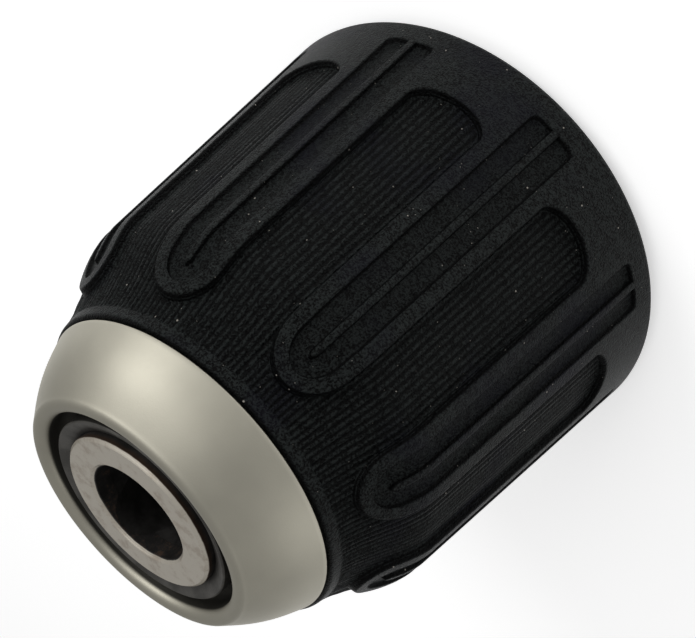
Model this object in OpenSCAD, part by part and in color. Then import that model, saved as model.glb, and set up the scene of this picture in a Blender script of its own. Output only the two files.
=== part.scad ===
// Keyless three-jaw drill chuck with one grip sleeve and a metal nose cap.
// The chuck's axis is Z. The rear face stands on z = 0 and the nose points up.
// The jaws are shown fully open, and the sleeve is unlocked.

/* [Overall] */
// Length from the rear face to the front of the nose cap
total_len = 48.4; // [48.2:0.1:49]
// Smoothness of round parts
round_fn = 96; // [48:24:144]

/* [Body] */
// Radius of the central hole that takes the bit
bit_hole_r = 5.1; // [5.05:0.05:5.2]
// Height at which the full width of the central hole starts
bit_hole_z = 20; // [19:0.5:21]
// Wall radius of the spindle socket, for a 3/8-24 thread
socket_r = 4.25; // [4:0.05:4.5]
// Depth of the spindle socket
socket_depth = 14.5; // [12:0.5:16]
// Radius of the rear boss
boss_r = 11; // [10.8:0.1:11.3]
// Radius of the flange that carries the ratchet ring
flange_r = 14.38; // [14.2:0.02:14.5]
// Radius of the nose behind the cap
nose_r = 10.2; // [9.9:0.1:10.6]
// Radius of the ground face at the tip of the nose
face_r = 8.15; // [8:0.05:8.3]

/* [Jaws] */
// Tilt of each jaw to the chuck's axis, in degrees
jaw_tilt = 17; // [16.8:0.1:17.2]
// Radius of a jaw's round shank
jaw_r = 3.25; // [3.1:0.05:3.3]
// Length of a jaw, measured along the chuck's axis
jaw_len = 26; // [25:0.5:26.5]
// Reach of the gripping edge from the chuck's axis when open
open_r = 5.25; // [5.2:0.05:5.4]
// Thread pitch along the chuck's axis, 16 to the inch
thread_pitch = 1.5875; // [1.5:0.0125:1.6]
// Turns of the nut from open to closed
nut_turns = 10; // [9:1:10]

/* [Bearing] */
// Number of balls
ball_count = 22; // [16:1:24]
// Radius of a ball
ball_r = 1.1; // [1.0:0.02:1.1]
// Radius of the circle through the balls
ball_circle_r = 14.45; // [14.4:0.05:14.5]

/* [Ratchet lock] */
// Number of ratchet teeth
ratchet_teeth = 30; // [30:1:30]
// Turn of the sleeve between unlocked and locked, in degrees
lock_angle = 20; // [16:1:20]
// Drop of the pawl when the sleeve locks
pawl_drop = 0.5; // [0.4:0.02:0.5]

/* [Grip sleeve] */
// Number of raised fingers round the sleeve
finger_count = 9; // [7:1:9]
// Half of a finger's width, in degrees round the axis
finger_half_deg = 10; // [8:0.5:10]
// Height of the fingers above the ribbed floor
finger_h = 0.75; // [0.4:0.05:0.9]
// Depth of the channel sunk in each finger
channel_depth = 0.45; // [0.2:0.05:0.6]
// Radius of the sleeve's front edge
front_r = 16.35; // [16.2:0.05:16.6]
// Rise of the shoulder behind the front edge
shoulder_rise = 2.7; // [2.5:0.1:2.9]
// Widening per millimetre towards the rear
taper = 0.105; // [0.09:0.005:0.12]

/* [Nose cap] */
// Radius of the cap's front opening
opening_r = 10.35; // [10:0.05:10.6]
// Radius of the cap where it meets the sleeve
cap_r = 16; // [15.9:0.05:16.1]

/* [Hidden] */

steel_black = [0.16, 0.15, 0.15];
steel_bright = [0.74, 0.74, 0.73];
steel_blue = [0.42, 0.44, 0.48];
satin_nickel = [0.63, 0.61, 0.58];
brass_tone = [0.72, 0.58, 0.32];
moulded_black = [0.05, 0.05, 0.055];

far = 60;              // longer than anything that is cut
slip = 0.02;           // gap between pieces that are pressed together
run = 0.05;            // running clearance of a jaw in its bore
jaw_count = 3;
jaw_start_deg = 90;    // where the first jaw lies round the axis
finger_start_deg = 270;

// heights, from the rear face
cover_z = 1.6;
cover_t = 1.3;
clip_z = 0.55;
clip_t = 0.95;
lip_z = 15.2;
flange_z = 17.5;
race_z = 22.3;
race_t = 0.76;
ball_gap = 2 * ball_r + 2 * slip;
nut_race_z = race_z + race_t + ball_gap;
nut_z = 26.4;
nut_h = 7.8;
groove_top_z = 34.6;
nose_step_z = 43.6;
face_z = total_len - 0.8;
sleeve_rear_z = 1;
seam_z = total_len - 7;

// jaw geometry
apex_z = 52.6;
jaw_advance = nut_turns * thread_pitch;
jaw_tip_closed_z = 50.6;
jaw_tip_open_z = jaw_tip_closed_z - jaw_advance;
jaw_rear_open_z = jaw_tip_open_z - jaw_len;
grip_land = 0.25;      // flat ground off the gripping edge
tooth_depth = 0.6;
tooth_half = 0.5;

// radii round the nut
nut_r = 15.6;
race_in_r = 12.95;
race_out_r = 15.9;
skirt_in_r = 16.1;
skirt_out_r = 16.8;
band_out_r = 16.4;
dog_out_r = 17.3;
shell_in_r = 17.45;
sleeve_bore_r = 18.02;
sleeve_step_r = 16.7;
skirt_bore_r = 15.57;
cover_bore_r = 19.35;
tooth_tip_r = 15.7;
tooth_root_r = 15.1;

// ---------- shared helpers ----------

// Distance from the chuck's axis to the outermost line of a jaw, at height z
function jaw_back(z) = (apex_z - z) * tan(jaw_tilt) + jaw_r / cos(jaw_tilt);

// A point on a circle
function on_circle(r, a) = [r * cos(a), r * sin(a)];

// Points along an arc about c
function arc(c, r, a0, a1, n) =
  [for (i = [0:n]) c + on_circle(r, a0 + (a1 - a0) * i / n)];

// A smooth step from 0 to 1
function smooth(u) = let (v = min(max(u, 0), 1)) v * v * (3 - 2 * v);

// Ring between two radii and two heights
module ring(r_in, r_out, z0, z1) {
  rotate_extrude($fn = round_fn)
    translate([r_in, z0]) square([r_out - r_in, z1 - z0]);
}

// Piece of a ring, from angle a0 to a1
module ring_part(r_in, r_out, z0, z1, a0, a1) {
  rotate_extrude(angle = a1 - a0, start = a0, $fn = round_fn)
    translate([r_in, z0]) square([r_out - r_in, z1 - z0]);
}

// Puts its children on a jaw's own axis, with distance measured from the apex
module on_jaw_axis(i) {
  rotate([0, 0, jaw_start_deg + i * 360 / jaw_count])
    translate([0, 0, apex_z])
      rotate([0, -jaw_tilt, 0])
        children();
}

// ---------- body ----------

module chuck_body() {
  chamfer = 0.3;
  clip_groove_r = 10.2;
  drill_r = 2.6;
  neck_r = 12.2;
  groove_gap = 0.45;
  lip_r = 15.2;
  bore_start = (apex_z - 6.8) / cos(jaw_tilt);
  bore_end = 3.5;
  relief_from = bit_hole_z + 7;
  relief_to = 45.6;
  color(steel_black)
  difference() {
    rotate_extrude($fn = round_fn)
      polygon([
        [0, 0], [boss_r - chamfer, 0], [boss_r, chamfer],
        [boss_r, clip_z - slip], [clip_groove_r, clip_z - slip],
        [clip_groove_r, clip_z + clip_t + slip], [boss_r, clip_z + clip_t + slip],
        [boss_r, 10], [12.6, 12], [lip_r, lip_z],
        [lip_r, flange_z], [flange_r, flange_z], [flange_r, race_z],
        [neck_r, race_z], [neck_r, nut_z - 1.4],
        [jaw_back(nut_z) - groove_gap, nut_z - 0.2],
        [jaw_back(groove_top_z) - groove_gap, groove_top_z],
        [nose_r, groove_top_z], [nose_r, nose_step_z - 1],
        [nose_r - 0.8, nose_step_z], [face_r, nose_step_z],
        [face_r, face_z - chamfer], [face_r - chamfer, face_z], [0, face_z]
      ]);
    // central hole with its drilled bottom, relieved between a rear and a front land
    translate([0, 0, bit_hole_z]) cylinder(r = bit_hole_r, h = far, $fn = round_fn);
    translate([0, 0, relief_from])
      cylinder(r = bit_hole_r + 0.1, h = relief_to - relief_from, $fn = round_fn);
    translate([0, 0, bit_hole_z - 1.5])
      cylinder(r1 = drill_r, r2 = bit_hole_r, h = 1.5 + 0.001, $fn = round_fn);
    translate([0, 0, face_z - 0.35])
      cylinder(r1 = bit_hole_r, r2 = bit_hole_r + 0.35, h = 0.351, $fn = round_fn);
    // spindle socket, and the way through for the spindle's screw
    translate([0, 0, -1]) cylinder(r = socket_r, h = socket_depth + 1, $fn = round_fn);
    translate([0, 0, -0.001])
      cylinder(r1 = socket_r + 0.7, r2 = socket_r, h = 0.7, $fn = round_fn);
    translate([0, 0, socket_depth - 1])
      cylinder(r = drill_r, h = bit_hole_z - socket_depth, $fn = round_fn);
    // slanting jaw bores
    for (i = [0:jaw_count - 1])
      on_jaw_axis(i)
        translate([0, 0, -bore_start])
          cylinder(r = jaw_r + run, h = bore_start - bore_end, $fn = round_fn);
  }
}

// ---------- jaws ----------

// A round shank on the slant, ground to a wedge where it grips, with thread
// teeth cut across its back by rings about the chuck's axis
module jaw(i) {
  tip = (apex_z - jaw_tip_open_z) / cos(jaw_tilt);
  rear = (apex_z - jaw_rear_open_z) / cos(jaw_tilt);
  edge_r = open_r - grip_land;
  first_tooth_z = jaw_rear_open_z + 1.4;
  teeth = 14;
  color(steel_blue)
  difference() {
    on_jaw_axis(i)
      translate([0, 0, -rear]) cylinder(r = jaw_r, h = rear - tip + 3, $fn = round_fn);
    // square front end
    translate([0, 0, jaw_tip_open_z]) cylinder(r = face_r * 2, h = 10, $fn = 24);
    rotate([0, 0, jaw_start_deg + i * 360 / jaw_count]) {
      // two faces of the wedge, and the land along its edge
      for (side = [-1, 1])
        translate([edge_r, 0, 0])
          rotate([0, 0, side * 60])
            translate([-10, side > 0 ? 0 : -10, 0]) cube([20, 10, far]);
      translate([open_r - 10, -5, 0]) cube([10, 10, far]);
    }
    // thread teeth
    rotate_extrude($fn = round_fn)
      for (k = [0:teeth - 1])
        let (z = first_tooth_z + k * thread_pitch)
          polygon([
            [jaw_back(z) - tooth_depth, z],
            [jaw_back(z) + 0.4, z - tooth_half - 0.15],
            [jaw_back(z) + 0.4, z + tooth_half + 0.15]
          ]);
  }
}

module jaw_1() { jaw(0); }
module jaw_2() { jaw(1); }
module jaw_3() { jaw(2); }

// ---------- split nut, its band and the bearing ----------

// Half of the nut. Its tapered bore is threaded, and clears the jaws' teeth.
module nut_half(start) {
  crest_gap = 0.1;
  groove_half = 0.45;
  first_z = nut_z + 0.9;
  grooves = 5;
  split_deg = 0.3;
  bore = function (z) jaw_back(z) + crest_gap;
  color(steel_bright)
  rotate_extrude(angle = 180 - 2 * split_deg, start = start + split_deg, $fn = round_fn)
    polygon(concat(
      [[nut_r, nut_z], [bore(nut_z), nut_z]],
      [for (k = [0:grooves - 1], s = [-1:1])
        let (z = first_z + k * thread_pitch + s * groove_half)
          [bore(z) + (s == 0 ? tooth_depth : 0), z]],
      [[bore(nut_z + nut_h), nut_z + nut_h], [nut_r, nut_z + nut_h]]
    ));
}

module nut_half_a() { nut_half(0); }
module nut_half_b() { nut_half(180); }

// Pressed band that holds the halves together. Its rear skirt surrounds the
// bearing and carries the pawl in a window, and its dogs are driven by the shell.
module nut_band() {
  window = [3, 2.7, 3.6];
  color(steel_bright)
  difference() {
    union() {
      rotate_extrude($fn = round_fn)
        polygon([
          [nut_r + slip, nut_z], [skirt_in_r, nut_z], [skirt_in_r, 17.8],
          [skirt_out_r, 17.8], [skirt_out_r, 27.4], [band_out_r, 27.8],
          [band_out_r, 34], [nut_r + slip, 34]
        ]);
      for (a = [60:120:300])
        ring_part(band_out_r - 0.3, dog_out_r, 28.6, 33, a - 12, a + 12);
    }
    translate([skirt_in_r - 1, -window.y / 2, 18.2]) cube(window);
  }
}

module nut_washer() {
  color(steel_blue) ring(race_in_r, race_out_r, nut_race_z, nut_z - slip);
}

module thrust_washer() {
  color(steel_blue) ring(race_in_r, race_out_r, race_z + slip, race_z + race_t);
}

module bearing_balls() {
  color(steel_bright)
  for (i = [0:ball_count - 1])
    rotate([0, 0, i * 360 / ball_count])
      translate([ball_circle_r, 0, race_z + race_t + ball_gap / 2])
        sphere(r = ball_r, $fn = 32);
}

module ball_cage() {
  half_t = 0.55;
  mid_z = race_z + race_t + ball_gap / 2;
  color(brass_tone)
  difference() {
    ring(race_in_r + 0.15, race_out_r - 0.1, mid_z - half_t, mid_z + half_t);
    for (i = [0:ball_count - 1])
      rotate([0, 0, i * 360 / ball_count])
        translate([ball_circle_r, 0, mid_z - 1])
          cylinder(r = ball_r + 0.05, h = 2, $fn = 32);
  }
}

// ---------- ratchet lock ----------

// Saw-toothed ring pressed on the body's flange
module ratchet_ring() {
  pitch = 360 / ratchet_teeth;
  color(steel_blue)
  translate([0, 0, flange_z + slip])
    difference() {
      linear_extrude(race_z - flange_z - 2 * slip)
        polygon([for (k = [0:ratchet_teeth - 1])
          each [
            on_circle(tooth_root_r, k * pitch - 2.5),
            on_circle(tooth_root_r, k * pitch + 2.2),
            on_circle(tooth_tip_r, k * pitch + 3.2)
          ]]);
      translate([0, 0, -1])
        cylinder(r = flange_r + slip, h = race_z - flange_z + 2, $fn = round_fn);
    }
}

// Pawl in the band's window: a nose for the teeth and a button for the cam
module lock_pawl() {
  nose_w = 0.8;
  body_w = 2.4;
  button_w = 1.2;
  color(steel_bright) {
    translate([tooth_tip_r + 0.15, -nose_w / 2, 18.4]) cube([0.6, nose_w, 3.2]);
    translate([tooth_tip_r + 0.6, -body_w / 2, 18.4]) cube([0.48, body_w, 3.2]);
    translate([16.7, -button_w / 2, 18.5]) cube([0.63, button_w, 1.3]);
  }
}

// Open spring ring round the band's skirt, which passes over the pawl
module lock_spring() {
  color(steel_blue) ring_part(skirt_out_r + 0.06, 17.12, 20.2, 21.6, -20, 290);
}

// Steel shell inside the sleeve: three drive lugs, and the cam for the pawl
module drive_shell() {
  lug_half = 37.5;
  lug_mid = 130;
  cam_in = shell_in_r - 0.05;
  cam_slope = pawl_drop / lock_angle;
  cam_start = 2;
  cam_end = cam_start + lock_angle;
  color(steel_blue)
  union() {
    ring(shell_in_r, sleeve_bore_r - slip, 16.4, 33.4);
    for (a = [0:120:240])
      ring_part(band_out_r + 0.2, shell_in_r + 0.2, 28.4, 33.2,
        lug_mid + a - lug_half, lug_mid + a + lug_half);
    translate([0, 0, 18.4])
      linear_extrude(1.5)
        polygon(concat(
          [on_circle(cam_in, -4)],
          [for (a = [cam_start:4:cam_end])
            on_circle(cam_in - cam_slope * (a - cam_start), a)],
          [for (a = [5, 10]) on_circle(cam_in - pawl_drop, cam_end + a)],
          [for (a = [cam_end + 10:-4:-4]) on_circle(shell_in_r + 0.2, a)]
        ));
  }
}

// ---------- outside: sleeve, cap, ring, cover and clip ----------

// Radius of the sleeve's ribbed floor, at a distance s behind its front edge
function floor_r(s) =
  front_r + shoulder_rise * smooth(s / 9.4) + taper * min(s, 31);

// Stations along the sleeve: close together on the shoulder, then far apart
shoulder_n = 5;
stations = [for (i = [0:shoulder_n]) 9.4 * i / shoulder_n, 16, 23, 31];
sleeve_len = seam_z - sleeve_rear_z;

// Sleeve outline in height order from the front, raised by h
function outline(h) = [for (s = stations) [floor_r(s) + h, seam_z - s]];

// Distances behind the sleeve's front edge
finger_front = 2.95;
arch_front = 30.8;
arch_back = 34;
channel_back = 37.4;

// Half width of a finger, measured square to its own radius
function finger_x(s, deg) = (floor_r(s) + finger_h) * sin(deg);

// Outline made of one side and its mirror image
function both_sides(side) =
  concat(side, [for (i = [len(side) - 1:-1:0]) if (side[i].x > 0) [-side[i].x, side[i].y]]);

// A finger, round in front and widening to the rear band. x is across, y is
// along the axis.
module finger_outline() {
  nose = finger_x(6, finger_half_deg);
  polygon(both_sides(concat(
    arc([0, seam_z - finger_front - nose], nose, 90, 0, 6),
    [[finger_x(31, finger_half_deg), seam_z - arch_back]]
  )));
}

// The shallow arch where the floor between two fingers runs out into the band
module arch_outline() {
  half_deg = 180 / finger_count - finger_half_deg;
  half_w = finger_x(31, half_deg);
  depth = 2.3;
  polygon(concat(
    [[half_w, seam_z - arch_front + 1]],
    [for (a = [0:15:180]) [half_w * cos(a), seam_z - arch_front - depth * sin(a)]],
    [[-half_w, seam_z - arch_front + 1]]
  ));
}

// The U-shaped channel in a finger, with its middle rib left standing
module channel_outline() {
  half_deg = finger_half_deg * 0.63;
  nose = finger_x(6, half_deg);
  nose_y = seam_z - finger_front - finger_x(6, finger_half_deg);
  rear_x = finger_x(31, half_deg);
  rear_y = seam_z - channel_back;
  corner = 0.7;
  rib = 0.42;
  side = concat(
    arc([0, nose_y], nose, 90, 0, 5),
    arc([rear_x - corner, rear_y + corner], corner, 0, -90, 3)
  );
  difference() {
    polygon(both_sides(side));
    polygon([
      [-rib, rear_y - 1], [rib, rear_y - 1], [rib, nose_y + 0.1], [rib * 0.5, nose_y + 0.5],
      [-rib * 0.5, nose_y + 0.5], [-rib, nose_y + 0.1]
    ]);
  }
}

// Stands an outline upright round the sleeve, once for each finger, or halfway
// between fingers
module round_sleeve(shift = 0) {
  for (i = [0:finger_count - 1])
    rotate([0, 0, finger_start_deg + (i + shift) * 360 / finger_count])
      translate([14, 0, 0])
        rotate([90, 0, 90])
          linear_extrude(12) children();
}

module grip_sleeve() {
  edge = 1.2;
  rear_r = floor_r(31);
  color(moulded_black)
  difference() {
    union() {
      rotate_extrude($fn = round_fn)
        polygon(concat(
          [[skirt_bore_r, seam_z]], outline(0),
          [[rear_r, sleeve_rear_z + edge], [rear_r - edge / 2, sleeve_rear_z],
           [skirt_bore_r, sleeve_rear_z]]
        ));
      intersection() {
        rotate_extrude($fn = round_fn)
          polygon(concat(
            [[16.6, seam_z - 1]],
            [for (p = outline(finger_h)) if (p.y < seam_z - 1.5) p],
            [[rear_r + finger_h, sleeve_rear_z + edge],
             [rear_r + finger_h - edge, sleeve_rear_z], [16.6, sleeve_rear_z]]
          ));
        union() {
          round_sleeve() finger_outline();
          ring(14, 27, 0, seam_z - arch_front);
        }
      }
    }
    // arches between the fingers
    intersection() {
      rotate_extrude($fn = round_fn)
        polygon(concat(outline(0), [[floor_r(31), 2], [26, 2], [26, seam_z]]));
      round_sleeve(0.5) arch_outline();
    }
    // channels
    intersection() {
      rotate_extrude($fn = round_fn)
        polygon(concat(
          outline(finger_h - channel_depth),
          [[floor_r(31) + finger_h - channel_depth, 2], [26, 2], [26, seam_z]]
        ));
      round_sleeve() channel_outline();
    }
    // inside, from the rear
    translate([0, 0, -1]) cylinder(r = cover_bore_r, h = 4.1, $fn = round_fn);
    translate([0, 0, 2]) cylinder(r = sleeve_bore_r, h = 31.6, $fn = round_fn);
    translate([0, 0, 33]) cylinder(r = sleeve_step_r, h = 3.6, $fn = round_fn);
    translate([0, 0, 36]) cylinder(r = skirt_bore_r, h = far, $fn = round_fn);
  }
}

// Cap with a skirt pressed into the sleeve, a domed face and an inner flange
module nose_cap() {
  skirt_out = skirt_bore_r - slip;
  skirt_in = 14.2;
  skirt_z = 36.7;
  shoulder_z = seam_z + 0.15;
  lip = 0.85;
  lip_c = [opening_r + lip, total_len - lip];
  bulge = 0.35;
  // the face is a straight slope with a slight bulge, meeting the lip's round
  face_end = lip_c + on_circle(lip, 32);
  face_start = [cap_r, shoulder_z + 0.15];
  n = 6;
  color(satin_nickel)
  rotate_extrude($fn = round_fn)
    polygon(concat(
      [[8.45, nose_step_z + 0.15], [12.7, nose_step_z + 0.15],
       [skirt_in, shoulder_z], [skirt_in, skirt_z],
       [skirt_out, skirt_z], [skirt_out, shoulder_z], [cap_r - 0.1, shoulder_z]],
      [for (i = [0:n]) let (u = i / n)
        face_start + u * (face_end - face_start) + on_circle(bulge * sin(180 * u), 30)],
      arc(lip_c, lip, 58, 180, 6),
      [[opening_r, nose_step_z + 1.5], [8.45, nose_step_z + 1.5]]
    ));
}

// Dished ring pressed on the body's nose, which keeps the cap on
module front_retaining_ring() {
  color([0.3, 0.3, 0.3])
  rotate_extrude($fn = round_fn)
    polygon([
      [face_r + slip, 45.3], [9.48, 45.3], [9.48, 47], [9.3, 47.2], [face_r + slip, 46.55]
    ]);
}

// Disc that closes the rear of the sleeve
module rear_cover() {
  color(moulded_black)
  rotate_extrude($fn = round_fn)
    polygon([
      [boss_r + slip, cover_z], [18.7, cover_z], [19.05, cover_z + 0.35],
      [19.05, cover_z + cover_t], [14, cover_z + cover_t],
      [13.4, cover_z + cover_t + 1], [boss_r + slip, cover_z + cover_t + 1]
    ]);
}

// Open clip with two eared ends, in the groove of the rear boss
module rear_circlip() {
  in_r = 10.25;
  out_r = 12.2;
  gap = 9;
  ear_r = 1.5;
  ear_at = 11.9;
  hole_r = 0.65;
  color(steel_blue)
  difference() {
    union() {
      ring_part(in_r, out_r, clip_z, clip_z + clip_t, 270 + gap, 630 - gap);
      for (s = [-1, 1])
        rotate([0, 0, 270 + s * (gap + 4)])
          translate([ear_at, 0, clip_z]) cylinder(r = ear_r, h = clip_t, $fn = 32);
    }
    for (s = [-1, 1])
      rotate([0, 0, 270 + s * (gap + 4)])
        translate([ear_at + 0.2, 0, 0]) cylinder(r = hole_r, h = 3, $fn = 24);
    translate([0, 0, -1]) cylinder(r = in_r, h = 4, $fn = round_fn);
  }
}

chuck_body();
jaw_1();
jaw_2();
jaw_3();
nut_half_a();
nut_half_b();
nut_band();
nut_washer();
thrust_washer();
bearing_balls();
ball_cage();
ratchet_ring();
lock_pawl();
lock_spring();
drive_shell();
grip_sleeve();
nose_cap();
front_retaining_ring();
rear_cover();
rear_circlip();
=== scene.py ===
"""Looks of a keyless drill chuck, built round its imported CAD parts."""

import math

import bmesh
import bpy
import numpy as np
from bpy.props import (
    FloatProperty,
    FloatVectorProperty,
    IntProperty,
    PointerProperty,
)
from mathutils import Matrix, Vector


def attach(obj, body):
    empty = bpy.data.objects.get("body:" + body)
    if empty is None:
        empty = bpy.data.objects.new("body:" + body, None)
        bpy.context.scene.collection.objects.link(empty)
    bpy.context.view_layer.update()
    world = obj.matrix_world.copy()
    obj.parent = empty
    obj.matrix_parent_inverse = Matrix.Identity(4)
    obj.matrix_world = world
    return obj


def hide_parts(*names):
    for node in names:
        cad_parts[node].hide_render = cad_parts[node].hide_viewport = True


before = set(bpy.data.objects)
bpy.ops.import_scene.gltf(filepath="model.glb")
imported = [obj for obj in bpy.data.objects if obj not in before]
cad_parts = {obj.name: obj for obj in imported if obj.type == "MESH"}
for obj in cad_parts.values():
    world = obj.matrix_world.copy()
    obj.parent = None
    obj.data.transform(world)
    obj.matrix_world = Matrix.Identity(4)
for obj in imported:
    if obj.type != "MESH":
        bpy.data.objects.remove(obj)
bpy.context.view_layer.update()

bl_info = {
    "name": "Keyless drill chuck",
    "version": (1, 0, 0),
    "blender": (4, 5, 0),
    "location": "3D View > Sidebar > Chuck",
    "description": "Builds the shapes and finishes of a keyless drill chuck",
    "category": "Object",
}

MM = 0.001

# Heights along the chuck's axis, in mm from the rear face
SEAM_Z = 41.4
TOTAL_Z = 48.0
FACE_Z = 47.6
SLEEVE_REAR_Z = 1.0

# Radius of the cap's opening, in mm
OPENING_R = 10.8


# ---------- settings ----------


def colour(name, text, value):
    """A colour that the user can change."""
    return FloatVectorProperty(
        name=name, description=text, default=value, subtype="COLOR", min=0, max=1, size=3
    )


def length(name, text, value, low, high):
    """A length in metres that the user can change, given here in mm."""
    return FloatProperty(
        name=name,
        description=text,
        default=value * MM,
        min=low * MM,
        max=high * MM,
        unit="LENGTH",
        precision=5,
    )


def share(name, text, value):
    """A number from 0 to 1 that the user can change."""
    return FloatProperty(
        name=name, description=text, default=value, min=0, max=1, subtype="FACTOR"
    )


class SleeveSettings(bpy.types.PropertyGroup):
    """Sizes and colours of the grip sleeve."""

    fingers: IntProperty(
        name="Fingers", description="Raised fingers round the sleeve", default=9, min=5, max=12
    )
    half_angle: FloatProperty(
        name="Finger half width",
        description="Half of a finger's width, seen from the axis",
        default=math.radians(10.5),
        subtype="ANGLE",
        unit="ROTATION",
    )
    height: length("Finger height", "Height of a finger above the ribbed floor", 0.75, 0.2, 1)
    channel: length("Channel depth", "Depth of the channel sunk in each finger", 0.45, 0.1, 0.7)
    ribs: IntProperty(
        name="Ribs", description="Fine ribs from one finger to the next", default=22, min=8, max=30
    )
    rib_height: length("Rib height", "Height of a fine rib", 0.16, 0, 0.3)
    tone: colour("Plastic", "Colour of the moulded plastic", (0.0038, 0.0045, 0.0044))
    dust: colour("Dust", "Colour of the dust specks", (0.30, 0.28, 0.25))
    roughness: share("Roughness", "Roughness of the moulded plastic", 0.46)


class NoseSettings(bpy.types.PropertyGroup):
    """Colours of the nose cap, the dished ring and the body's tip."""

    nickel: colour("Nickel", "Colour of the satin cap", (0.455, 0.435, 0.365))
    nickel_roughness: share("Cap roughness", "Roughness of the satin cap", 0.52)
    ring_tone: colour("Ring", "Colour of the dished ring", (0.13, 0.125, 0.115))
    ground: colour("Ground face", "Colour of the ground steel", (0.70, 0.65, 0.56))
    # colour of the blackened steel, also used for painted shade inside the cap's opening
    oxide_and_shade: colour("Oxide", "Colour of the blackened steel", (0.022, 0.021, 0.02))
    grime: colour("Grime", "Colour of the brown residue in the hole", (0.06, 0.03, 0.015))


class InsideSettings(bpy.types.PropertyGroup):
    """Colours of the parts inside the sleeve."""

    turned: colour("Turned steel", "Colour of turned steel", (0.42, 0.41, 0.40))
    hardened: colour("Hardened steel", "Colour of hardened steel", (0.23, 0.23, 0.24))
    polished: colour("Polished steel", "Colour of the balls", (0.72, 0.72, 0.73))
    blued: colour("Blued steel", "Colour of spring steel", (0.055, 0.065, 0.09))
    brass: colour("Brass", "Colour of the ball cage", (0.60, 0.42, 0.17))


class StageSettings(bpy.types.PropertyGroup):
    """Camera, lights and floor."""

    elevation: FloatProperty(
        name="Camera height",
        description="Angle of the view above the horizon",
        default=math.radians(34.153),
        subtype="ANGLE",
        unit="ROTATION",
    )
    roll: FloatProperty(
        name="Camera roll",
        description="Turn of the camera about its view",
        default=math.radians(-132.256),
        subtype="ANGLE",
        unit="ROTATION",
    )
    distance: length("Distance", "Distance from the camera to its target", 122.12, 80, 400)
    lens: FloatProperty(name="Lens", description="Focal length in mm", default=66.23)
    floor: colour("Floor", "Colour of the floor", (0.93, 0.93, 0.93))
    air: colour("Surroundings", "Colour of the light from all round", (1.0, 1.0, 1.0))
    air_strength: FloatProperty(
        name="Surroundings strength", description="Strength of that light", default=0.42, min=0
    )


# ---------- shader writing ----------


class Value:
    """A shader value that can be used in plain arithmetic. Each step adds a Math node."""

    def __init__(self, finish, socket):
        self.finish = finish
        self.socket = socket

    def math(self, operation, *values):
        node = self.finish.add(
            "ShaderNodeMath", {"operation": operation}, dict(enumerate(values))
        )
        return Value(self.finish, node.outputs[0])

    def __add__(self, other):
        return self.math("ADD", self, other)

    __radd__ = __add__

    def __sub__(self, other):
        return self.math("SUBTRACT", self, other)

    def __rsub__(self, other):
        return self.math("SUBTRACT", other, self)

    def __mul__(self, other):
        return self.math("MULTIPLY", self, other)

    __rmul__ = __mul__

    def __truediv__(self, other):
        return self.math("DIVIDE", self, other)

    def __rtruediv__(self, other):
        return self.math("DIVIDE", other, self)

    def __pow__(self, other):
        return self.math("POWER", self, other)

    def ramp(self, low, high, to_low=0.0, to_high=1.0):
        """Smooth step between two values of this one."""
        node = self.finish.add(
            "ShaderNodeMapRange",
            {"interpolation_type": "SMOOTHSTEP"},
            {"Value": self, "From Min": low, "From Max": high, "To Min": to_low, "To Max": to_high},
        )
        return Value(self.finish, node.outputs[0])

    def sine(self):
        return self.math("SINE", self)

    def least(self, other):
        return self.math("MINIMUM", self, other)

    def most(self, other):
        return self.math("MAXIMUM", self, other)


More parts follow.
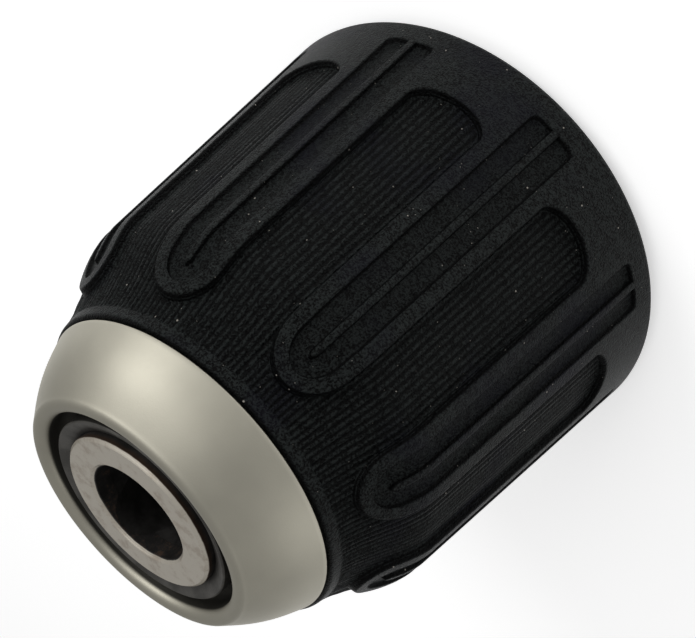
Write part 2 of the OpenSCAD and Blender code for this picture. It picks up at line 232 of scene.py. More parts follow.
class Finish:
    """A material under construction, with its Principled shader."""

    def __init__(self, name, **constants):
        self.material = bpy.data.materials.new(name)
        self.material.use_nodes = True
        self.tree = self.material.node_tree
        self.tree.nodes.clear()
        self.shader = self.add("ShaderNodeBsdfPrincipled", {}, {})
        for key, value in constants.items():
            self.shader.inputs[key.replace("_", " ")].default_value = value
        out = self.add("ShaderNodeOutputMaterial", {}, {})
        self.tree.links.new(self.shader.outputs[0], out.inputs[0])
        self.coords = self.add("ShaderNodeTexCoord", {}, {}).outputs["Object"]

    def add(self, kind, settings, sockets):
        """Adds a node, sets it up, then sets or links its sockets."""
        node = self.tree.nodes.new(kind)
        for key, value in settings.items():
            setattr(node, key, value)
        for key, value in sockets.items():
            self.feed(node.inputs[key], value)
        return node

    def feed(self, socket, value):
        """Links a value to a socket, or sets the socket to a number or colour."""
        if isinstance(value, Value):
            self.tree.links.new(value.socket, socket)
        elif isinstance(value, bpy.types.NodeSocket):
            self.tree.links.new(value, socket)
        elif socket.type == "RGBA" and len(value) == 3:
            socket.default_value = (*value, 1)
        else:
            socket.default_value = value

    def set(self, **values):
        """Feeds the Principled shader's sockets."""
        for key, value in values.items():
            self.feed(self.shader.inputs[key.replace("_", " ")], value)

    def noise(self, per_metre, detail=3.0, rough=0.55, vector=None):
        """Fractal noise, with so many lumps to the metre."""
        node = self.add(
            "ShaderNodeTexNoise",
            {},
            {
                "Vector": vector or self.coords,
                "Scale": per_metre,
                "Detail": detail,
                "Roughness": rough,
            },
        )
        return Value(self, node.outputs["Fac"])

    def stretched(self, x, y, z):
        """The object's coordinates, multiplied along each axis."""
        node = self.add(
            "ShaderNodeVectorMath",
            {"operation": "MULTIPLY"},
            {0: self.coords, 1: (x, y, z)},
        )
        return node.outputs[0]

    def axes(self):
        """The three object coordinates in mm, and the distance from the chuck's axis."""
        parts = self.add("ShaderNodeSeparateXYZ", {}, {0: self.coords}).outputs
        x, y, z = (Value(self, parts[i]) * (1 / MM) for i in range(3))
        return x, y, z, (x * x + y * y) ** 0.5

    def mix(self, factor, one, other):
        """A colour between two colours."""
        node = self.add(
            "ShaderNodeMix", {"data_type": "RGBA"}, {0: factor, 6: one, 7: other}
        )
        return node.outputs[2]

    def specks(self, per_metre, size, kept):
        """Round specks: one in each cell of a cell pattern, and only in a share of the cells."""
        node = self.add(
            "ShaderNodeTexVoronoi", {}, {"Vector": self.coords, "Scale": per_metre}
        )
        distance = Value(self, node.outputs["Distance"])
        pick = self.add("ShaderNodeSeparateColor", {}, {0: node.outputs["Color"]}).outputs
        chosen = Value(self, pick[0]).ramp(1 - kept, 1 - kept + 0.001)
        radius = Value(self, pick[1]) * size + size * 0.3
        return (radius - distance).ramp(0, size * 0.5) * chosen

    def bump(self, height, distance_mm, strength=1.0):
        """Bumps of so many mm, fed to the shader's normal."""
        node = self.add(
            "ShaderNodeBump",
            {},
            {"Height": height, "Distance": distance_mm * MM, "Strength": strength},
        )
        self.set(Normal=node.outputs[0])

    def give(self, *objects):
        for o in objects:
            o.data.materials.clear()
            o.data.materials.append(self.material)


# ---------- surfaces ----------


def polar(radius, degrees, z):
    """Points from a radius, an angle round the chuck's axis and a height."""
    a = np.radians(degrees)
    return np.stack(
        np.broadcast_arrays(radius * np.cos(a), radius * np.sin(a), z), axis=-1
    )


def grid_faces(rows, columns, start=0):
    """Four-sided faces between neighbouring points of a grid."""
    i = np.arange(rows * columns).reshape(rows, columns) + start
    return np.stack([i[:-1, :-1], i[1:, :-1], i[1:, 1:], i[:-1, 1:]], axis=-1).reshape(-1, 4)


def make_piece(name, grids, body, sharp_deg=None):
    """Joins grids of points in mm into one closed mesh and puts it on a body."""
    points, faces, start = [], [], 0
    for grid in grids:
        rows, columns = grid.shape[:2]
        points.append(grid.reshape(-1, 3) * MM)
        faces.append(grid_faces(rows, columns, start))
        start += rows * columns
    mesh = bpy.data.meshes.new(name)
    mesh.from_pydata(np.concatenate(points), [], np.concatenate(faces).tolist())
    work = bmesh.new()
    work.from_mesh(mesh)
    bmesh.ops.remove_doubles(work, verts=work.verts, dist=0.002 * MM)
    bmesh.ops.recalc_face_normals(work, faces=work.faces)
    open_edges = sum(1 for e in work.edges if not e.is_manifold)
    work.to_mesh(mesh)
    work.free()
    if open_edges:
        raise RuntimeError(f"{name} isn't closed: {open_edges} edges")
    mesh.shade_smooth()
    if sharp_deg:
        mesh.set_sharp_from_angle(angle=math.radians(sharp_deg))
    piece = bpy.data.objects.new(name, mesh)
    bpy.context.scene.collection.objects.link(piece)
    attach(piece, body)
    return piece


def rounded(corners, steps=6):
    """A closed outline whose corners, given as (r, z, radius), become arcs.

    Each arc touches both sides at a distance radius / tan(half the corner's angle) from
    the corner, and its points run from one touching point to the other about its centre.
    """
    corners = np.array(corners, float)
    out = []
    for i, (r, z, radius) in enumerate(corners):
        here = np.array([r, z])
        back = corners[i - 1, :2] - here
        ahead = corners[(i + 1) % len(corners), :2] - here
        back_len, ahead_len = np.linalg.norm(back), np.linalg.norm(ahead)
        back, ahead = back / back_len, ahead / ahead_len
        half = math.acos(np.clip(back @ ahead, -1, 1)) / 2
        if radius == 0 or half > math.radians(89.5):
            out.append(here[None])
            continue
        reach = min(radius / math.tan(half), 0.49 * back_len, 0.49 * ahead_len)
        bow = reach * math.tan(half)
        middle = (back + ahead) / np.linalg.norm(back + ahead)
        centre = here + middle * bow / math.sin(half)
        first, last = here + back * reach - centre, here + ahead * reach - centre
        sweep = math.acos(np.clip(first @ last / bow**2, -1, 1))
        t = np.linspace(0, 1, steps + 1)[:, None]
        arc = (np.sin((1 - t) * sweep) * first + np.sin(t * sweep) * last) / math.sin(sweep)
        out.append(centre + arc)
    return np.concatenate(out)


def turned(outline, columns=192):
    """A turned shape: a closed outline of (r, z) carried round the chuck's axis."""
    outline = np.concatenate([outline, outline[:1]])
    angle = np.linspace(0, 360, columns + 1)
    return polar(outline[:, :1], angle[None, :], outline[:, 1:])


def arc_points(centre, radius, start, end, steps):
    """Points along an arc of a circle, in (r, z)."""
    a = np.radians(np.linspace(start, end, steps + 1))
    return np.array(centre) + radius * np.stack([np.cos(a), np.sin(a)], axis=-1)


def smooth(u):
    """0 below 0 and 1 above 1, with a smooth cubic between."""
    u = np.clip(u, 0, 1)
    return u * u * (3 - 2 * u)


# ---------- grip sleeve ----------

# Distances behind the sleeve's front edge, in mm
NOSE_CENTRE_S = 6.36
ARCH_S = 30.9
ARCH_DEPTH = 2.0
BAND_S = 34.5
CHANNEL_END_S = 37.4
NOSE_TIP_S = 2.95

# The sleeve's floor, in mm: radius in front, rise and length of the shoulder, and widening
FRONT_R = 16.35
SHOULDER_RISE = 2.7
SHOULDER_S = 9.4
TAPER = 0.105

# Half width of a finger's own parts, in degrees round the axis
FOOT_DEG = 10.0
RIM_DEG = 9.1
CHANNEL_DEG = 6.3
RIB_DEG = 1.0

# Across a finger, from its middle to the top of its side
ACROSS_DEG = (
    0, 0.45, 0.75, 0.87, 0.95, 1.02, 1.1, 1.3, 1.9, 2.7, 3.5, 4.4, 5.2, 5.7, 5.9, 6.03,
    6.15, 6.25, 6.35, 6.5, 6.7, 7.2, 7.8, 8.4, 8.8, 8.97, RIM_DEG,
)  # fmt: skip

# A finger's side, from its top to its foot: place in degrees, and share of the height
SIDE_DEG = (RIM_DEG, 9.27, 9.42, 9.56, 9.68, 9.79, 9.89, FOOT_DEG)
SIDE_HEIGHT = (1.0, 0.985, 0.93, 0.82, 0.60, 0.32, 0.1, 0.0)

# The channel's side and its rib's side: distance in mm, and share of the channel's depth
CHANNEL_REACH = (-0.12, -0.06, 0.0, 0.05, 0.10, 0.16, 0.24)
CHANNEL_SHARE = (0.0, 0.03, 0.16, 0.46, 0.78, 0.95, 1.0)
RIB_REACH = (-0.12, -0.05, 0.0, 0.04, 0.1)
RIB_SHARE = (0.0, 0.06, 0.4, 0.85, 1.0)


def floor_radius(s):
    """Radius of the sleeve's floor: a smooth shoulder on a slow, even taper."""
    return FRONT_R + SHOULDER_RISE * smooth(s / SHOULDER_S) + TAPER * s


def lane_columns(ribs):
    """Places across a lane, from -1 to 1: four to each fine rib, and crowded at both edges."""
    steps = ribs * 2
    even = np.linspace(-1, 1, steps + 1)
    edge = np.sin(np.radians((76, 80.5, 84, 87)))
    return np.unique(np.concatenate([even, edge, -edge]).round(9))


class SleeveShape:
    """The sleeve's outer surface as a function of angle, distance from the front and lane."""

    def __init__(self, s):
        self.count = s.fingers
        self.pitch = 360 / s.fingers
        self.scale = math.degrees(s.half_angle) / FOOT_DEG
        self.height = s.height / MM
        self.channel = s.channel / MM
        self.rib_height = s.rib_height / MM
        self.rib_pitch = self.pitch / s.ribs
        self.lane = lane_columns(s.ribs)

    def spread(self, radius, degrees, s):
        """Points of one finger's share of the sleeve, repeated round the whole sleeve."""
        radius, degrees, s = np.broadcast_arrays(radius, degrees, s)
        turn = 270 + self.pitch * np.arange(self.count)
        return [polar(radius, degrees + t, SEAM_Z - s) for t in turn]

    def floor(self, degrees, s):
        """The floor with its ribs: a cosine of the angle, which fades in behind the lip."""
        fade = smooth((s - 0.95) / 0.4)
        wave = 0.5 + 0.5 * np.cos(2 * np.pi * degrees / self.rib_pitch)
        lip = 0.35
        drop = lip - np.sqrt(np.maximum(lip**2 - np.maximum(lip - s, 0) ** 2, 0))
        return floor_radius(s) + self.rib_height * (wave - 1) * fade - drop

    def finger_top(self, across, s):
        """Radius on a finger, from its half width there and the distance from the front."""
        base = floor_radius(s) + self.height
        mm_per_deg = np.radians(base)
        side = (CHANNEL_DEG - across) * mm_per_deg
        end = CHANNEL_END_S - s
        corner = 0.8
        inner = corner - np.hypot(np.maximum(corner - side, 0), np.maximum(corner - end, 0))
        reach = np.where((side < corner) & (end < corner), inner, np.minimum(side, end))
        sunk = np.interp(reach, CHANNEL_REACH, CHANNEL_SHARE)
        rib = np.interp((across - RIB_DEG) * mm_per_deg, RIB_REACH, RIB_SHARE)
        return base - self.channel * np.minimum(sunk, rib)

    def nose_reach(self, across):
        """Length of a finger's round nose ahead of its centre, at a given half width."""
        pointed = 0.6
        full = NOSE_CENTRE_S - NOSE_TIP_S
        return pointed + (full - pointed) * across / FOOT_DEG

    def grids(self):
        """All the patches that make up the closed sleeve."""
        lane = self.lane
        turn = np.arcsin(lane)
        across = np.array(ACROSS_DEG) * self.scale
        side_deg = np.array(SIDE_DEG) * self.scale
        side_up = np.array(SIDE_HEIGHT) * self.height
        foot = FOOT_DEG * self.scale
        half_panel = self.pitch / 2 - foot
        middle = self.pitch / 2
        made = []

        # a finger's round nose: its profile carried round half an ellipse
        level = np.concatenate([across, side_deg[1:]])[:, None]
        u = level * np.sin(turn)
        s = NOSE_CENTRE_S - self.nose_reach(level) * np.cos(turn)
        top = self.finger_top(level, s)
        side_s = NOSE_CENTRE_S - self.nose_reach(side_deg[:, None]) * np.cos(turn)
        side_r = floor_radius(side_s) + side_up[:, None]
        side_r[-1] = self.floor(foot * np.sin(turn), side_s[-1])
        nose = np.concatenate([top[: len(across)], side_r[1:]])
        made += self.spread(nose, u, s)

        # its straight part
        rows = np.concatenate(
            [np.linspace(NOSE_CENTRE_S, 9.8, 6), (12, 15, 19, 23, 27, 29.5, ARCH_S)]
        )[:, None]
        wide = np.concatenate([side_deg[:0:-1], across[::-1]])
        wide = np.concatenate([-wide, wide[-2::-1]])
        half = np.abs(wide)
        straight = self.finger_top(half, rows)
        on_side = half > across[-1]
        flank = floor_radius(rows) + np.interp(half, side_deg, side_up)
        straight = np.where(on_side, flank, straight)
        at_foot = half > foot - 1e-6
        straight = np.where(at_foot, self.floor(wide, rows), straight)
        made += self.spread(straight, wide, rows)

        # the floor in front of the fingers, from the rounded lip
        front = np.concatenate([(0, 0.02, 0.07, 0.15, 0.25, 0.35), (0.7, 0.95, 1.05, 1.15, 1.25)])
        ahead = np.linspace(0, 1, 9)[:, None]
        lane_s = NOSE_CENTRE_S - self.nose_reach(foot) * np.cos(turn)
        finger_s = 1.35 + ahead * (lane_s - 1.35)
        panel_s = 1.35 + ahead * (NOSE_CENTRE_S - 1.35) + 0 * lane
        panel_deg = middle + half_panel * lane
        for degrees, reach in ((foot * lane, finger_s), (panel_deg, panel_s)):
            s = np.concatenate([front[:, None] + 0 * lane, reach])
            made += self.spread(self.floor(degrees, s), degrees, s)

        # the floor between the fingers, as far as the arch
        arch = ARCH_S + ARCH_DEPTH * np.cos(turn)
        begin = rows[:-1] + 0 * lane
        s = np.concatenate([begin, arch[None]])
        made += self.spread(self.floor(panel_deg, s), panel_deg, s)

        # the arch's own side: the finger's side carried round half an ellipse
        level = side_deg[::-1, None]
        rise = side_up[::-1, None]
        grown = np.radians(floor_radius(ARCH_S)) * (foot - level)
        s = ARCH_S + (ARCH_DEPTH + grown) * np.cos(turn)
        u = middle + (middle - level) * lane
        wall = floor_radius(s) + rise + 0 * u
        wall[0] = self.floor(panel_deg, s[0])
        made += self.spread(wall, u, s)

        # the smooth band behind the arches
        part = np.linspace(0, 1, 5)[:, None]
        s = s[-1] + part * (BAND_S - s[-1])
        made += self.spread(floor_radius(s) + self.height, u[-1], s)
        inner = np.concatenate([-across[:0:-1], across])
        s = ARCH_S + part * (BAND_S - ARCH_S)
        made += self.spread(self.finger_top(np.abs(inner), s), inner, s)

        # the rear: band, round edge, rear face and the bores, back to the front
        fine = CHANNEL_END_S + np.array(
            (-0.8, -0.7, -0.6, -0.5, -0.4, -0.3, -0.24, -0.16, -0.1, -0.05, 0, 0.06, 0.12)
        )
        band = np.concatenate([(BAND_S, 35.5, 36.2), fine, (38.2, 38.9)])[:, None]
        back_deg = np.concatenate([inner, (u[-1])[1:]])
        band_r = np.where(
            np.abs(back_deg) <= across[-1] + 1e-9,
            self.finger_top(np.abs(back_deg), band),
            floor_radius(band) + self.height,
        )
        made += self.spread(band_r, back_deg, band)
        front_deg = np.concatenate([foot * lane, panel_deg[1:]])
        edge = 0.8
        last_s = SEAM_Z - SLEEVE_REAR_Z
        rim_r = floor_radius(last_s - edge) + self.height
        round_edge = arc_points((rim_r - edge, last_s - edge), edge, 0, 90, 5)
        bores = rounded(
            [
                (rim_r - edge, last_s, 0), (19.35, last_s, 0.2), (19.35, SEAM_Z - 3.1, 0.1),
                (18.02, SEAM_Z - 3.1, 0.1), (18.02, SEAM_Z - 33.6, 0.1),
                (16.7, SEAM_Z - 33.6, 0.1), (16.7, SEAM_Z - 36.6, 0.1),
                (15.57, SEAM_Z - 36.6, 0.1), (15.57, 0, 0.15), (16.0, 0, 0),
            ],
            steps=1,
        )  # fmt: skip
        path = np.concatenate([[(floor_radius(38.9) + self.height, 38.9)], round_edge, bores[1:]])
        path[-1] = (self.floor(0.0, 0.0), 0)
        moved = np.linspace(0, 1, len(path))[:, None]
        degrees = back_deg + moved * (front_deg - back_deg)
        r = path[:, :1] + 0 * degrees
        made += self.spread(r, degrees, path[:, 1:])
        return made


class CHUCK_OT_sleeve(bpy.types.Operator):
    """Makes the moulded grip sleeve with its fingers, channels, ribs and rear band"""

    bl_idname = "chuck.sleeve"
    bl_label = "Grip sleeve"

    def execute(self, context):
        s = context.scene.chuck_sleeve
        piece = make_piece("moulded_grip_sleeve", SleeveShape(s).grids(), "sleeve")
        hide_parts("grip_sleeve")
        moulded_finish("moulded_grip", s, True).give(piece)
        return {"FINISHED"}


def moulded_finish(name, s, relief_shade=False):
    """Black plastic with a spark-eroded grain, faint flow marks and specks of dust.

    With the relief shade on, painted shade from the height above the sleeve's floor darkens the
    valleys between the ribs, the sides of the fingers and the channels.
    """
    f = Finish(name, Specular_IOR_Level=0.055)
    grain = f.noise(5200, 2, 0.6)
    coarse = f.noise(1700, 3, 0.6)
    cloudy = f.noise(110, 3, 0.5)
    dust = f.specks(800, 0.075, 0.7).most(f.specks(1700, 0.07, 0.35))
    shade = (grain + coarse * 0.4 - 0.2).ramp(0.38, 0.62)
    darker = tuple(c * 0.05 for c in s.tone)
    lighter = tuple(c * 3.7 for c in s.tone)
    cool = (s.tone[0] * 1.0, s.tone[1] * 0.8, s.tone[2] * 1.9)
    base = f.mix(shade, darker, lighter)
    base = f.mix(cloudy.ramp(0.5, 0.72) * 0.5, base, cool)
    if relief_shade:
        z, r = f.axes()[2:]
        behind = SEAM_Z - z
        floor = behind * TAPER + behind.ramp(0, SHOULDER_S, FRONT_R, FRONT_R + SHOULDER_RISE)
        proud = r - floor
        # painted shade: near-black in the valleys between the ribs and on the fingers' sides, and
        # partly on the channel floors
        valley_shade = proud.ramp(-0.03, -0.14) * 0.85
        channel = proud.ramp(0.22, 0.28) * proud.ramp(0.38, 0.32) * 0.75
        side = (proud.ramp(0.02, 0.08) * proud.ramp(0.72, 0.62) - channel) * 0.95
        # the painted shade is mixed into the base colour here, and kept off the sleeve's rear end
        base = f.mix(valley_shade.most(side) * z.ramp(2.0, 2.6), base, (0.0003, 0.0003, 0.0004))
    f.set(
        Base_Color=f.mix(dust, base, tuple(s.dust)),
        Roughness=(cloudy * 0.12 + grain * 0.3 + (s.roughness - 0.26)).most(dust * 0.9),
    )
    f.bump(grain * 1.0 + coarse * 0.5 + dust * 0.5, 0.2, 1.0)
    return f


# ---------- nose ----------


def cap_outline():
    """The cap's section: skirt, shoulder, bulging face, rounded lip and inner flange."""
    lip = 0.85
    centre = (OPENING_R + lip, TOTAL_Z - lip)
    face_start = np.array([16.0, SEAM_Z + 0.3])
    face_end = arc_points(centre, lip, 32, 32, 0)[0]
    t = np.linspace(0, 1, 25)[:, None]
    bulge = 0.35 * np.sin(np.pi * t) * np.array([math.cos(0.52), math.sin(0.52)])
    face = face_start + t * (face_end - face_start) + bulge
    lip_arc = arc_points(centre, lip, 36, 180, 18)
    skirt = rounded(
        [
            (OPENING_R, 45.1, 0), (8.45, 45.1, 0.08), (8.45, 43.75, 0.08), (12.7, 43.75, 0.3),
            (14.2, SEAM_Z + 0.15, 0.4), (14.2, 36.7, 0.1), (15.55, 36.7, 0.15),
            (15.55, SEAM_Z + 0.15, 0.08), (16.0, SEAM_Z + 0.15, 0.13), (16.0, SEAM_Z + 0.3, 0),
        ],
        steps=4,
    )  # fmt: skip
    return np.concatenate([skirt, face[1:], lip_arc])


class CHUCK_OT_cap(bpy.types.Operator):
    """Makes the satin nose cap"""

    bl_idname = "chuck.cap"
    bl_label = "Nose cap"

    def execute(self, context):
        s = context.scene.chuck_nose
        piece = make_piece("satin_nose_cap", [turned(cap_outline(), 256)], "sleeve")
        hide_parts("nose_cap")
        f = Finish("satin_nickel_finish", Metallic=1.0)
        blast = f.noise(7000, 2, 0.6)
        cloudy = f.noise(160, 3, 0.5)
        marks = f.specks(300, 0.02, 0.06)
        bright = tuple(s.nickel)
        dull = tuple(c * 0.86 for c in s.nickel)
        base = f.mix(cloudy.ramp(0.3, 0.7) * 0.6 + blast * 0.25, dull, bright)
        z, r = f.axes()[2:]
        # painted shade inside the cap's opening: the lip's inner wall and the inner flange take the
        # blackened steel's colour
        inside = z.ramp(TOTAL_Z - 0.6, TOTAL_Z - 0.9) * r.ramp(OPENING_R + 0.6, OPENING_R + 0.3)
        base = f.mix(inside * 0.85, base, tuple(s.oxide_and_shade))
        f.set(
            Base_Color=f.mix(marks, base, (0.2, 0.17, 0.13)),
            Roughness=cloudy * 0.08 + blast * 0.1 + (s.nickel_roughness - 0.09),
        )
        f.bump(blast, 0.012, 0.5)
        f.give(piece)
        return {"FINISHED"}


class CHUCK_OT_front_ring(bpy.types.Operator):
    """Makes the dished ring that is pressed on the body's nose"""

    bl_idname = "chuck.front_ring"
    bl_label = "Dished ring"

    def execute(self, context):
        s = context.scene.chuck_nose
        outline = rounded(
            [
                (8.17, 45.3, 0.06), (9.7, 45.3, 0.1), (9.7, 47.15, 0.06),
                (9.55, 47.3, 0.08), (8.17, 46.6, 0.06),
            ],
            steps=4,
        )  # fmt: skip
        piece = make_piece("dished_ring", [turned(outline, 192)], "root")
        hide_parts("front_retaining_ring")
        f = Finish("dished_ring_finish", Metallic=0.85)
        grit = f.noise(5000, 3, 0.6)
        cloudy = f.noise(500, 3, 0.5)
        tone = tuple(s.ring_tone)
        base = f.mix(cloudy.ramp(0.35, 0.7), tuple(c * 0.6 for c in tone), tone)
        f.set(Base_Color=base, Roughness=grit * 0.3 + 0.38)
        f.bump(grit, 0.015, 0.6)
        f.give(piece)
        return {"FINISHED"}


class CHUCK_OT_body(bpy.types.Operator):
    """Gives the body its blackened, ground and grimy surfaces, with painted shade inside its bore"""

    bl_idname = "chuck.body"
    bl_label = "Body"

    def execute(self, context):
        s = context.scene.chuck_nose
        f = Finish("body_steel_finish", Specular_IOR_Level=0.1)
        x, y, z, r = f.axes()
        wobble = f.noise(700, 3, 0.6)
        fine = f.noise(4500, 3, 0.65)
        edge_wear = (wobble - 0.5) * 0.35
        on_face = (z + edge_wear * 0.3).ramp(FACE_Z - 0.3, FACE_Z - 0.22) * r.ramp(5.0, 5.12)
        in_hole = r.ramp(5.15, 5.05) * z.ramp(19, 20)
        rings = (r * 42 + wobble * 3).sine()
        grit = (fine * 0.6 + wobble * 0.7).ramp(0.64, 0.86)
        stain = (wobble + fine * 0.3).ramp(0.62, 0.86)
        rim = (z + edge_wear * 2).ramp(FACE_Z - 0.9, FACE_Z - 0.3) * r.ramp(7.9, 8.1)
        black = f.mix(wobble.ramp(0.3, 0.7), tuple(s.oxide_and_shade), tuple(c * 2 for c in s.oxide_and_shade))
        worn = f.mix(rim * 0.55, black, tuple(s.grime))
        # inside the bore: painted shade as near-black, with brown grime specks where the grit noise is
        # high
        hole = f.mix(grit, (0.003, 0.0025, 0.0025), tuple(s.grime))
        dull = tuple(c * 0.8 for c in s.ground)
        ground = f.mix(fine * 0.5 + wobble * 0.3, dull, tuple(s.ground))
        ground = f.mix(stain * 0.35, ground, (0.22, 0.14, 0.085))
        base = f.mix(on_face, f.mix(in_hole, worn, hole), ground)
        metal = on_face * 0.95 + (1 - on_face) * (1 - in_hole) * 0.7
        f.set(
            Base_Color=base,
            Metallic=metal.least(1.0),
            Roughness=0.62 - on_face * 0.3 + wobble * 0.12 + in_hole * 0.15,
        )
        f.bump(rings * 0.1 * on_face + fine * (0.4 + in_hole * 2.5), 0.02, 0.7)
        f.give(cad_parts["chuck_body"])
        return {"FINISHED"}


# ---------- inside ----------


def steel_finish(name, tone, roughness, lines_per_mm=0.0, along="z"):
    """Machined steel: turning lines along one axis, cloudy oil and fine pits."""
    f = Finish(name, Metallic=1.0)
    x, y, z, r = f.axes()
    cloudy = f.noise(350, 3, 0.55)
    pits = f.noise(5200, 3, 0.6)
    base = f.mix(cloudy.ramp(0.3, 0.7), tuple(c * 0.72 for c in tone), tuple(tone))
    f.set(Base_Color=base, Roughness=cloudy * 0.2 + pits * 0.12 + (roughness - 0.16))
    height = pits * 0.5
    if lines_per_mm:
        place = {"z": z, "r": r}[along]
        turns = 2 * math.pi * lines_per_mm
        height = height + (place * turns + cloudy * 2).sine() * 0.25
    f.bump(height, 0.012, 0.7)
    return f


class CHUCK_OT_jaws(bpy.types.Operator):
    """Gives the three jaws their hardened, ground finish"""

    bl_idname = "chuck.jaws"
    bl_label = "Jaws"

    def execute(self, context):
        s = context.scene.chuck_inside
        finish = steel_finish("jaw_finish", s.hardened, 0.34, 3.0)
        for name in ("jaw_1", "jaw_2", "jaw_3"):
            finish.give(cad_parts[name])
        return {"FINISHED"}


class CHUCK_OT_nut(bpy.types.Operator):
    """Gives the split nut and its band their turned finish"""

    bl_idname = "chuck.nut"
    bl_label = "Nut and band"

    def execute(self, context):
        s = context.scene.chuck_inside
        finish = steel_finish("nut_finish", s.turned, 0.36, 2.5)
        for name in ("nut_half_a", "nut_half_b", "nut_band"):
            finish.give(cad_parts[name])
        return {"FINISHED"}


class CHUCK_OT_bearing(bpy.types.Operator):
    """Gives the race washers, the balls and their cage their finishes"""

    bl_idname = "chuck.bearing"
    bl_label = "Ball bearing"

    def execute(self, context):
        s = context.scene.chuck_inside
        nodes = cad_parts
        race = steel_finish("race_finish", s.hardened, 0.28, 4.0, "r")
        race.give(nodes["nut_washer"], nodes["thrust_washer"])
        steel_finish("ball_finish", s.polished, 0.16).give(nodes["bearing_balls"])
        steel_finish("cage_finish", s.brass, 0.32, 3.0, "r").give(nodes["ball_cage"])
        return {"FINISHED"}


class CHUCK_OT_lock(bpy.types.Operator):
    """Gives the ratchet ring, pawl, spring and drive shell their finishes"""

    bl_idname = "chuck.lock"
    bl_label = "Ratchet lock"

    def execute(self, context):
        s = context.scene.chuck_inside
        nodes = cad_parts
        hard = steel_finish("ratchet_finish", s.hardened, 0.36, 2.0)
        hard.give(nodes["ratchet_ring"], nodes["drive_shell"])
        steel_finish("pawl_finish", s.turned, 0.34, 3.0).give(nodes["lock_pawl"])
        steel_finish("spring_finish", s.blued, 0.3).give(nodes["lock_spring"])
        return {"FINISHED"}


# ---------- rear ----------


class CHUCK_OT_rear(bpy.types.Operator):
    """Makes the rear cover and finishes the circlip that holds it"""

    bl_idname = "chuck.rear"
    bl_label = "Rear cover and clip"

    def execute(self, context):
        outline = rounded(
            [
                (11.02, 1.6, 0.1), (12.9, 1.6, 0.2), (13.3, 1.75, 0.2), (17.2, 1.75, 0.2),
                (17.6, 1.6, 0.2), (18.7, 1.6, 0.15), (19.05, 1.95, 0.15), (19.05, 2.9, 0.2),
                (14, 2.9, 0.3), (13.4, 3.9, 0.3), (11.02, 3.9, 0.1),
            ],
            steps=3,
        )  # fmt: skip
        piece = make_piece("moulded_rear_cover", [turned(outline, 192)], "root")
        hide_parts("rear_cover")
        moulded_finish("moulded_cover", context.scene.chuck_sleeve).give(piece)
        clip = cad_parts["rear_circlip"]
        blued = context.scene.chuck_inside.blued
        steel_finish("clip_finish", blued, 0.34, 2.0, "r").give(clip)
        return {"FINISHED"}


# ---------- stage ----------

CAMERA_TARGET = (0.22, -2.89, 19.84)

# Soft lights: name, direction from the chuck, distance and size in mm, power in watts
LIGHTS = (
    ("key_light", (0.38, -0.60, 0.70), 330, 150, 0.13),
    ("side_light", (0.82, -0.36, 0.42), 360, 200, 0.46),
    ("low_light", (-0.93, -0.25, 0.12), 420, 240, 0.15),
)


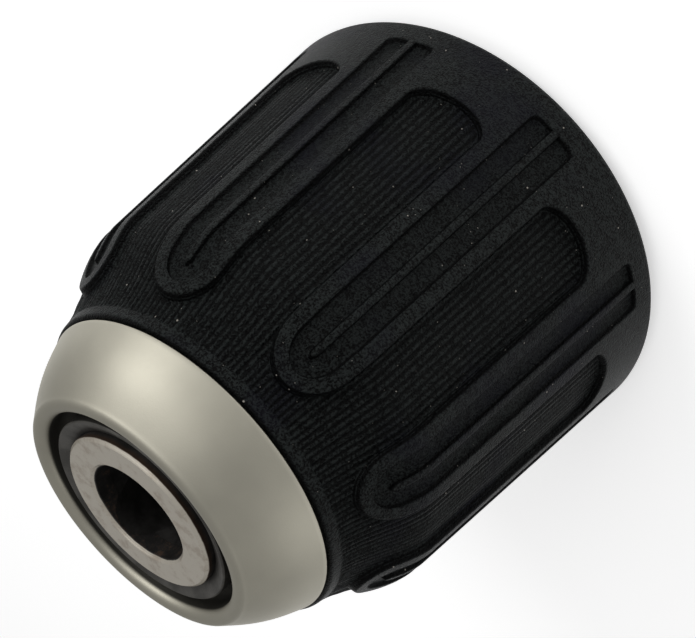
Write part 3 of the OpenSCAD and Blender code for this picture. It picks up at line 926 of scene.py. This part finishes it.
class CHUCK_OT_stage(bpy.types.Operator):
    """Sets up the floor, the soft lights, the surroundings and the camera"""

    bl_idname = "chuck.stage"
    bl_label = "Stage"

    def execute(self, context):
        s = context.scene.chuck_stage
        scene = context.scene
        half = 1.6
        corners = np.array([(-half, -half, 0), (half, -half, 0), (half, half, 0), (-half, half, 0)])
        mesh = bpy.data.meshes.new("floor")
        mesh.from_pydata(corners - (0, 0, 0.02 * MM), [], [(0, 1, 2, 3)])
        floor = bpy.data.objects.new("floor", mesh)
        scene.collection.objects.link(floor)
        f = Finish("floor_finish", Roughness=0.9, Specular_IOR_Level=0.1, Emission_Strength=0.5)
        cloudy = f.noise(9, 2, 0.5)
        tone = tuple(s.floor)
        f.set(Base_Color=f.mix(cloudy, tuple(c * 0.985 for c in tone), tone), Emission_Color=(1, 1, 1))
        f.give(floor)
        target = Vector((0, 0, 25 * MM))
        for name, toward, distance, size, power in LIGHTS:
            lamp = bpy.data.lights.new(name, "AREA")
            lamp.shape = "DISK"
            lamp.size = size * MM
            lamp.energy = power
            light = bpy.data.objects.new(name, lamp)
            away = Vector(toward).normalized()
            light.location = target + away * distance * MM
            light.rotation_euler = away.to_track_quat("Z", "Y").to_euler()
            scene.collection.objects.link(light)
        world = bpy.data.worlds.new("surroundings")
        world.use_nodes = True
        back = world.node_tree.nodes["Background"]
        back.inputs["Color"].default_value = (*s.air, 1)
        back.inputs["Strength"].default_value = s.air_strength
        scene.world = world
        scene.view_settings.view_transform = "Standard"
        self.camera(scene, s)
        return {"FINISHED"}

    def camera(self, scene, s):
        """A camera that looks down on the target, turned about its own view."""
        data = bpy.data.cameras.new("camera")
        data.lens = s.lens
        data.sensor_width = 36
        data.clip_start = 0.005
        data.clip_end = 20
        camera = bpy.data.objects.new("camera", data)
        scene.collection.objects.link(camera)
        back = Vector((0, -math.cos(s.elevation), math.sin(s.elevation)))
        up = Vector((0, math.sin(s.elevation), math.cos(s.elevation)))
        place = Vector(CAMERA_TARGET) * MM + back * s.distance
        side = up.cross(back)
        turn = Matrix.Rotation(s.roll, 3, "Z")
        pose = Matrix((side, up, back)).transposed() @ turn
        camera.matrix_world = Matrix.Translation(place) @ pose.to_4x4()
        scene.camera = camera


class CHUCK_PT_panel(bpy.types.Panel):
    """Sizes, colours and buttons for the chuck"""

    bl_idname = "CHUCK_PT_panel"
    bl_label = "Drill chuck"
    bl_space_type = "VIEW_3D"
    bl_region_type = "UI"
    bl_category = "Chuck"

    def draw(self, context):
        for group, buttons in PANEL_ROWS:
            box = self.layout.box()
            settings = getattr(context.scene, group)
            for key in settings.__annotations__:
                box.prop(settings, key)
            for button in buttons:
                box.operator(button)


PANEL_ROWS = (
    ("chuck_sleeve", ("chuck.sleeve", "chuck.rear")),
    ("chuck_nose", ("chuck.cap", "chuck.front_ring", "chuck.body")),
    ("chuck_inside", ("chuck.jaws", "chuck.nut", "chuck.bearing", "chuck.lock")),
    ("chuck_stage", ("chuck.stage",)),
)
SETTINGS = {
    "chuck_sleeve": SleeveSettings,
    "chuck_nose": NoseSettings,
    "chuck_inside": InsideSettings,
    "chuck_stage": StageSettings,
}
CLASSES = (
    *SETTINGS.values(),
    CHUCK_OT_sleeve,
    CHUCK_OT_cap,
    CHUCK_OT_front_ring,
    CHUCK_OT_body,
    CHUCK_OT_jaws,
    CHUCK_OT_nut,
    CHUCK_OT_bearing,
    CHUCK_OT_lock,
    CHUCK_OT_rear,
    CHUCK_OT_stage,
    CHUCK_PT_panel,
)


def register():
    for cls in CLASSES:
        bpy.utils.register_class(cls)
    for name, group in SETTINGS.items():
        setattr(bpy.types.Scene, name, PointerProperty(type=group))


def unregister():
    for name in SETTINGS:
        delattr(bpy.types.Scene, name)
    for cls in reversed(CLASSES):
        bpy.utils.unregister_class(cls)


def main():
    """Builds every piece and the stage."""
    register()
    for _, buttons in PANEL_ROWS:
        for button in buttons:
            family, name = button.split(".")
            getattr(getattr(bpy.ops, family), name)()


if __name__ == "__main__":
    main()
